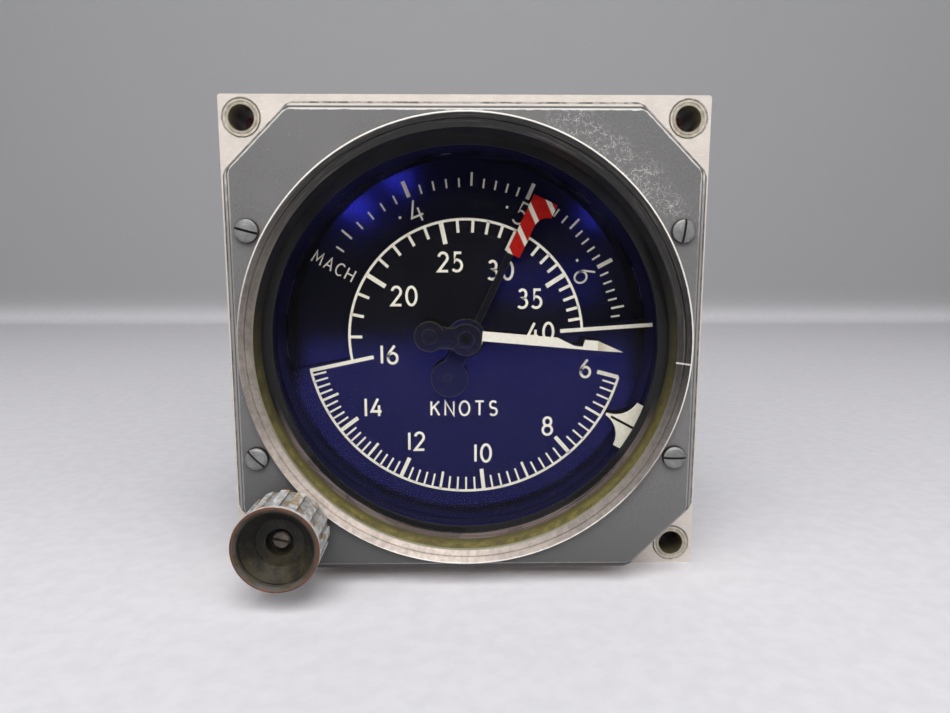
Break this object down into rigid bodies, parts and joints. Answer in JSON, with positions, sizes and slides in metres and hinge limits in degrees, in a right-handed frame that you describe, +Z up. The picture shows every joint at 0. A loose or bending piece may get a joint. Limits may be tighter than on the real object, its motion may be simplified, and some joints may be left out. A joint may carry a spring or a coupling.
{
  "type": "airspeed_indicator",
  "caption": "Square-flanged aircraft airspeed and Mach indicator with a moving speed bug, a striped limit pointer and a setting knob",
  "frame": {"origin": "centre of the corner ears' front face, on the dial's axis, where the instrument seats on the back of the panel", "axes": "X right as the pilot sees the dial, Y from the dial back along the case, Z up; the dial faces -Y"},
  "size_m": [0.0826, 0.1311, 0.0826],
  "materials": {
    "bare_aluminium": "bare, dull and faintly scratched",
    "grey_enamel": "satin grey enamel, scratched and rubbed bare at the edges",
    "bare_ring": "turned and polished, dulled",
    "glass": "coated against reflections, blue sheen",
    "gasket": "matt",
    "screw_steel": "plated, dulled",
    "bush_steel": "turned, oiled",
    "red_fibre": "dyed fibre",
    "knob_alloy": "corroded pale blue-grey with brown wear",
    "shaft_steel": "ground",
    "brass": "lacquered",
    "black_ring": "matt black",
    "bug_cream": "matt cream with a black line",
    "dial_black": "matt black with cream print",
    "disc_black": "matt black with cream print",
    "limit_red": "matt red with cream stripes and a black arm",
    "pointer_cream": "matt cream blade, black hub and tail",
    "movement_metal": "machined",
    "capsule_copper": "beryllium copper, bright",
    "case_black": "satin black",
    "union_brass": "dull passivated"
  },
  "bodies": {
    "instrument": {"flange_housing": "bare_aluminium", "front_plate": "grey_enamel", "plate_screws": "screw_steel", "bezel_ring": "bare_ring", "glass": "glass", "glass_gasket": "gasket", "corner_bushes": "bush_steel", "lock_inserts": "red_fibre", "knob_bush": "brass", "shaft_seal": "gasket", "dial_carrier": "black_ring", "dial": "dial_black", "movement_front_plate": "movement_metal", "movement_mid_plate": "movement_metal", "movement_rear_plate": "movement_metal", "front_pillars": "movement_metal", "rear_pillars": "movement_metal", "pillar_screws": "screw_steel", "movement_screws": "screw_steel", "pivot_bushes": "brass", "airspeed_hairspring": "shaft_steel", "altitude_hairspring": "shaft_steel", "spring_studs": "shaft_steel", "airspeed_capsule": "capsule_copper", "airspeed_bracket": "movement_metal", "aneroid_stack": "capsule_copper", "aneroid_bracket": "movement_metal", "bracket_screws": "screw_steel", "case_flange": "case_black", "case_tube": "case_black", "case_gasket": "gasket", "case_screws": "screw_steel", "rear_cover": "case_black", "rear_gasket": "gasket", "rear_cover_screws": "screw_steel", "pitot_union": "union_brass", "static_union": "union_brass", "pitot_pipe": "brass"},
    "bug_assembly": {"bug_ring": "black_ring", "speed_bug": "bug_cream"},
    "knob_assembly": {"knob": "knob_alloy", "knob_screw": "screw_steel", "knob_shaft": "shaft_steel", "knob_pinion": "brass", "shaft_clip": "shaft_steel"},
    "airspeed_rocker": {"airspeed_sector": "brass", "airspeed_rocking_shaft": "shaft_steel"},
    "airspeed_hand": {"airspeed_pointer": "pointer_cream", "airspeed_staff": "shaft_steel"},
    "airspeed_link": {"airspeed_post": "shaft_steel"},
    "altitude_rocker": {"altitude_sector": "brass", "altitude_rocking_shaft": "shaft_steel"},
    "altitude_hand": {"limit_pointer": "limit_red", "mach_disc": "disc_black", "altitude_sleeve": "brass"},
    "altitude_link": {"aneroid_post": "shaft_steel"}
  },
  "joints": [
    {"name": "bug_turn", "type": "hinge", "parent": "instrument", "child": "bug_assembly", "pos_m": [0, 0.0033, 0], "axis": [0, 1, 0], "continuous": true},
    {"name": "knob_turn", "type": "hinge", "parent": "instrument", "child": "knob_assembly", "pos_m": [-0.02963, -0.0052, -0.03033], "axis": [0, 1, 0], "continuous": true},
    {"name": "airspeed_rock", "type": "hinge", "parent": "instrument", "child": "airspeed_rocker", "pos_m": [0, 0.018, 0.0216], "axis": [0, -1, 0], "range_deg": [0, 44]},
    {"name": "airspeed_pointer_turn", "type": "hinge", "parent": "instrument", "child": "airspeed_hand", "pos_m": [0, 0.018, 0], "axis": [0, 1, 0], "range_deg": [0, 352.5], "deforming": ["airspeed_hairspring"]},
    {"name": "airspeed_post_slide", "type": "slide", "parent": "instrument", "child": "airspeed_link", "axis": [1, 0, 0], "range_m": [0, 0.00376], "deforming": ["airspeed_capsule"]},
    {"name": "altitude_rock", "type": "hinge", "parent": "instrument", "child": "altitude_rocker", "pos_m": [0.0196, 0.013, 0], "axis": [0, 1, 0], "range_deg": [-2, 18]},
    {"name": "altitude_sleeve_turn", "type": "hinge", "parent": "instrument", "child": "altitude_hand", "pos_m": [0, 0.013, 0], "axis": [0, -1, 0], "range_deg": [-12.2, 108.2], "deforming": ["altitude_hairspring"]},
    {"name": "aneroid_post_slide", "type": "slide", "parent": "instrument", "child": "altitude_link", "axis": [0, 0, 1], "range_m": [-0.00022, 0.00189], "deforming": ["aneroid_stack"]}
  ],
  "couplings": [
    {"joint": "knob_turn", "follows": "bug_turn", "ratio": -7.8333},
    {"joint": "airspeed_pointer_turn", "follows": "airspeed_rock", "ratio": 8},
    {"joint": "airspeed_post_slide", "follows": "airspeed_rock", "m_per_rad": 0.004878},
    {"joint": "altitude_sleeve_turn", "follows": "altitude_rock", "ratio": 6},
    {"joint": "aneroid_post_slide", "follows": "altitude_rock", "m_per_rad": 0.00597}
  ]
}
